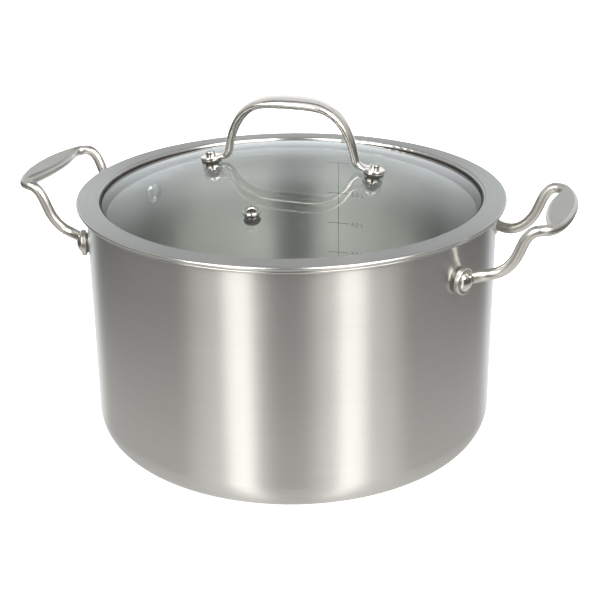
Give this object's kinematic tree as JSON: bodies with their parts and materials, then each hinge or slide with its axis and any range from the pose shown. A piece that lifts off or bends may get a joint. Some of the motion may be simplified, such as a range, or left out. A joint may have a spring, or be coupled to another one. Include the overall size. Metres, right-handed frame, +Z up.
{
  "type": "stock pot with glass lid",
  "caption": "Round steel stock pot with riveted side handles and a loose domed glass lid that has a steel rim, an arched handle and a steam vent.",
  "frame": {"origin": "on the floor under the middle of the pot", "axes": "+Z up, X through the middles of both side handles, -Y towards the steam vent in the lid"},
  "size_m": [0.3354, 0.254, 0.2124],
  "materials": {
    "pot_steel": "fine brushed around the axis",
    "rim_steel": "satin, brushed around the axis",
    "handle_steel": "satin",
    "base_core": "plain",
    "polished_steel": "polished",
    "lid_glass": "clear",
    "seal_rubber": "matte silicone"
  },
  "bodies": {
    "pot": {"pot_body": "pot_steel", "base_disc": "base_core", "base_cap": "pot_steel", "side_handle_right": "handle_steel", "side_handle_left": "handle_steel", "rivet_right_back": "polished_steel", "rivet_right_front": "polished_steel", "rivet_left_front": "polished_steel", "rivet_left_back": "polished_steel"},
    "lid": {"lid_glass": "lid_glass", "glass_seal": "seal_rubber", "lid_rim_band": "rim_steel", "lid_handle": "handle_steel", "vent_grommet": "seal_rubber", "steam_vent": "polished_steel", "foot_gasket_right": "seal_rubber", "under_gasket_right": "seal_rubber", "cap_nut_right": "polished_steel", "lid_screw_right": "polished_steel", "foot_gasket_left": "seal_rubber", "under_gasket_left": "seal_rubber", "cap_nut_left": "polished_steel", "lid_screw_left": "polished_steel"}
  },
  "joints": [
    {"name": "lid_lift", "type": "slide", "parent": "pot", "child": "lid", "axis": [0, 0, 1], "range_m": [0, 0.2]}
  ]
}
